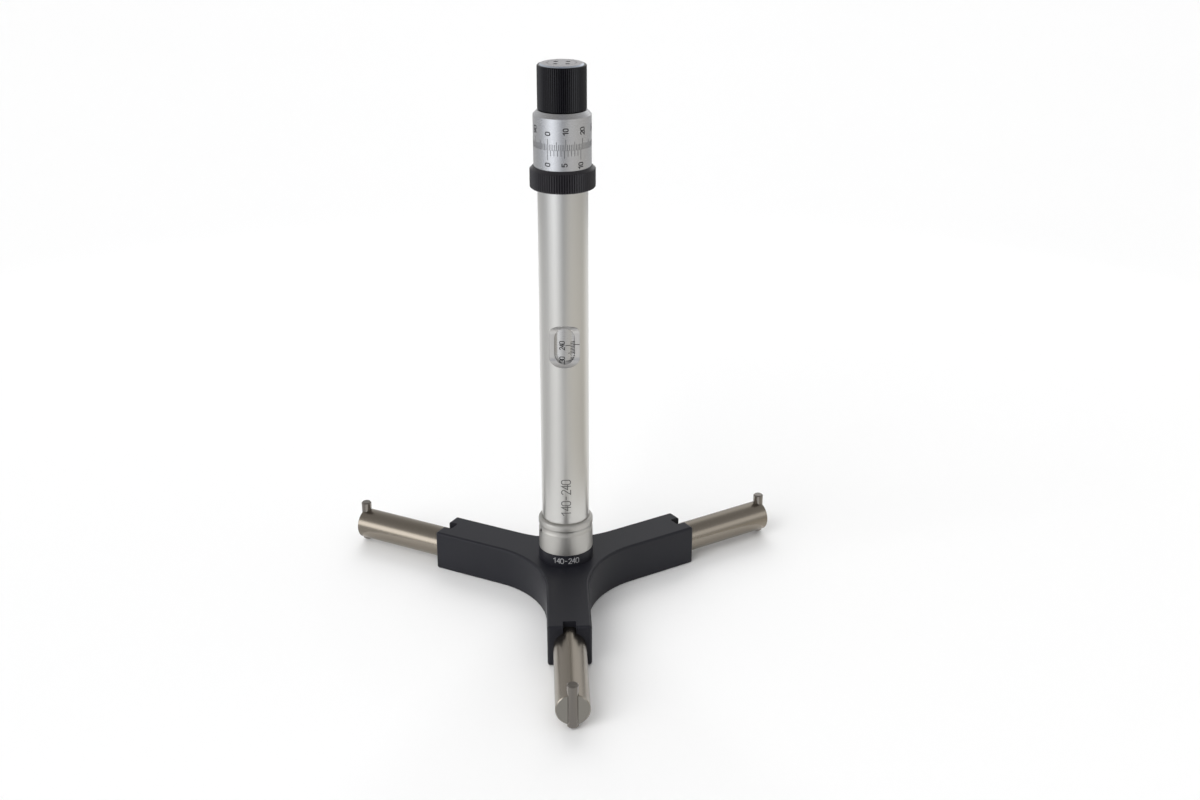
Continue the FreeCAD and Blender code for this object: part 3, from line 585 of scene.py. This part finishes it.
room(
    soft=0.56,
    walls=((-5, grey(0.60)), (10, grey(0.60)), (29, grey(0.53)), (57, (0.37, 0.365, 0.36)),
           (74, (0.31, 0.30, 0.29)), (87, (0.22, 0.23, 0.27))),
    boxes=((-90, 0, 6, 20, (0.24, 0.25, 0.28)), (-155, 8, 15, 24, grey(2.6)),
           (-20, 21, 9, 17, grey(1.25)), (68, 27, 8, 26, grey(0.95))),
)
card_ring("near_cards", 0.12, 0.33, (
    (-180, 1.0, 0), (-140, 0.95, 0), (-118, 0.66, 0), (-95, 0.58, 0), (-76, 0.68, 0),
    (-58, 0.86, 0), (-38, 0.94, 0), (-22, 0.79, 0), (-2, 0.61, 0), (16, 0.66, 0.5),
    (45, 0.62, 1), (100, 0.54, 1), (122, 0.88, 0.5), (150, 0.88, 0), (180, 0.95, 0)))
card_ring("middle_cards", 0.33, 0.68, (
    (-180, 1.0, 0), (-140, 0.97, 0), (-118, 0.69, 0), (-95, 0.62, 0), (-76, 0.71, 0),
    (-60, 0.88, 0), (-38, 1.12, 0), (-22, 0.84, 0), (-2, 0.40, 0), (16, 0.65, 0.6),
    (45, 0.69, 1.1), (100, 0.60, 1), (122, 0.92, 0.5), (150, 1.0, 0), (180, 1.0, 0)))
card_ring("far_cards", 0.68, 7.5, (
    (-180, 0.72, 0), (-160, 0.52, 0), (-120, 0.46, 0), (-90, 0.46, -0.6), (-66, 0.74, -0.7),
    (-42, 1.34, -0.7), (-24, 0.98, -0.7), (-2, 0.44, -0.7), (12, 0.43, -0.2), (30, 0.60, 0),
    (60, 0.53, 0.4), (95, 0.47, 0.5), (140, 0.44, 0), (165, 0.58, 0), (180, 0.72, 0)))
lamp("left", toward(-135, 33), 1.64, 50)
lamp("rear", toward(90, 33), 1.22, 50)


# Camera
def camera():
    pitch, yaw, roll = 0.3910756, 0.0439564, 0.0003854
    place = Vector((-13.0878, -671.8806, 377.7822)) * MM
    focal_length = 1561.204      # in pixels of a picture of that width
    picture_width = 1200.0
    sensor_width = 36.0
    forward = Vector((math.sin(yaw) * math.cos(pitch), math.cos(yaw) * math.cos(pitch),
                      -math.sin(pitch)))
    right = Vector((math.cos(yaw), -math.sin(yaw), 0))
    up = right.cross(forward)
    across = right * math.cos(roll) + up * math.sin(roll)
    upward = up * math.cos(roll) - right * math.sin(roll)
    turn = Matrix((across, upward, -forward)).transposed().to_4x4()
    data = bpy.data.cameras.new("camera")
    data.sensor_width = sensor_width
    data.lens = focal_length * sensor_width / picture_width
    obj = bpy.data.objects.new("camera", data)
    obj.matrix_world = Matrix.Translation(place) @ turn
    bpy.context.scene.collection.objects.link(obj)
    bpy.context.scene.camera = obj


camera()
bpy.context.scene.view_settings.view_transform = "Standard"
